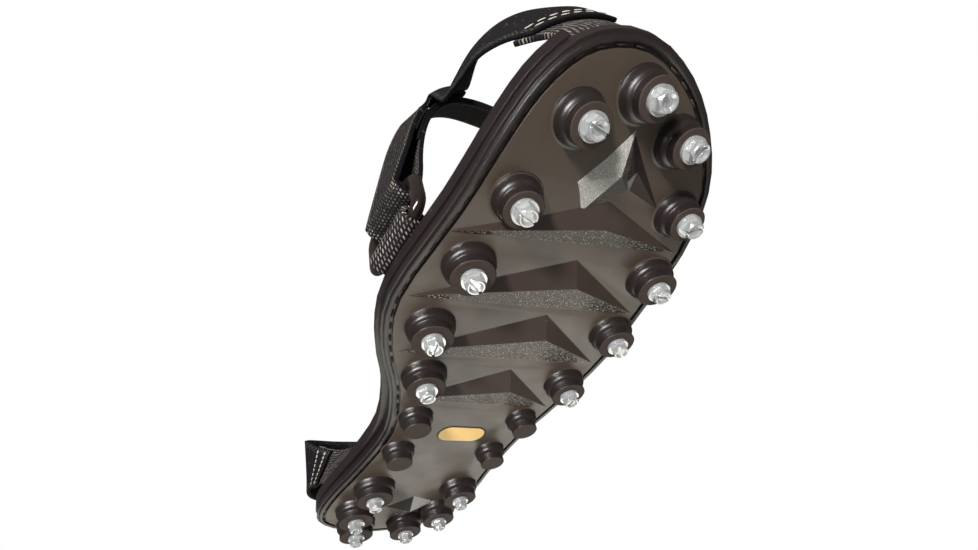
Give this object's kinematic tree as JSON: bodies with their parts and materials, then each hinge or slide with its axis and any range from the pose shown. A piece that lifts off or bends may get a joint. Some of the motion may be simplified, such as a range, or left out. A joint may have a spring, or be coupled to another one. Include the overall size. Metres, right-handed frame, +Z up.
{
  "type": "ice cleat",
  "caption": "Strap-on ice cleat for a left boot: studded rubber sole with hex-head ice screws, hook-and-loop toe and instep straps, an oval ring and a heel band.",
  "frame": {"origin": "centre of the bounding box in plan, at the level of the screw tips that the cleat stands on", "axes": "+X to the inner side of the foot, +Y to the toe, +Z up"},
  "size_m": [0.1194, 0.312, 0.156],
  "materials": {
    "rubber": "moulded, satin with worn glossy edges",
    "midsole_rubber": "satin",
    "felt": "ragged felt",
    "rim_thread": "heavy waxed thread",
    "amber": "satin",
    "zinc": "zinc-plated",
    "webbing": "ribbed weave with light flecks",
    "strap": "smooth",
    "hook_patch": "hook tape",
    "loop_patch": "loop tape",
    "thread": "sewing thread",
    "ring": "gloss"
  },
  "bodies": {
    "sole": {"outsole": "rubber", "midsole": "midsole_rubber", "footbed": "felt", "rim_stitching": "rim_thread", "sole_badge": "amber", "toe_screws": "zinc", "ball_screws": "zinc", "heel_screws": "zinc", "instep_anchor_inner": "webbing", "instep_strap": "strap", "instep_loop_patch": "loop_patch", "instep_anchor_outer": "webbing", "instep_stitching": "thread", "heel_anchor_inner": "webbing", "heel_anchor_outer": "webbing", "heel_band": "strap", "heel_stitching": "thread"},
    "ring": {"instep_ring": "ring"},
    "tab": {"instep_tab": "strap", "tab_hook_patch": "hook_patch"},
    "toe": {"toe_anchor": "webbing", "toe_strap": "strap", "toe_hook_patch": "hook_patch", "toe_stitching": "thread"}
  },
  "joints": [
    {"name": "ring_swing", "type": "hinge", "parent": "sole", "child": "ring", "pos_m": [0.05223, 0.06134, 0.03], "axis": [-0.1474, 0.9891, 0], "range_deg": [-2.5, 2.5]},
    {"name": "tab_peel", "type": "hinge", "parent": "sole", "child": "tab", "pos_m": [0.05816, 0.06222, 0.0503], "axis": [-0.1474, 0.9891, 0], "range_deg": [0, 130]},
    {"name": "toe_lift", "type": "hinge", "parent": "sole", "child": "toe", "pos_m": [0.01424, 0.15258, 0.0267], "axis": [-0.9528, 0.2945, 0.0738], "range_deg": [0, 70]}
  ]
}
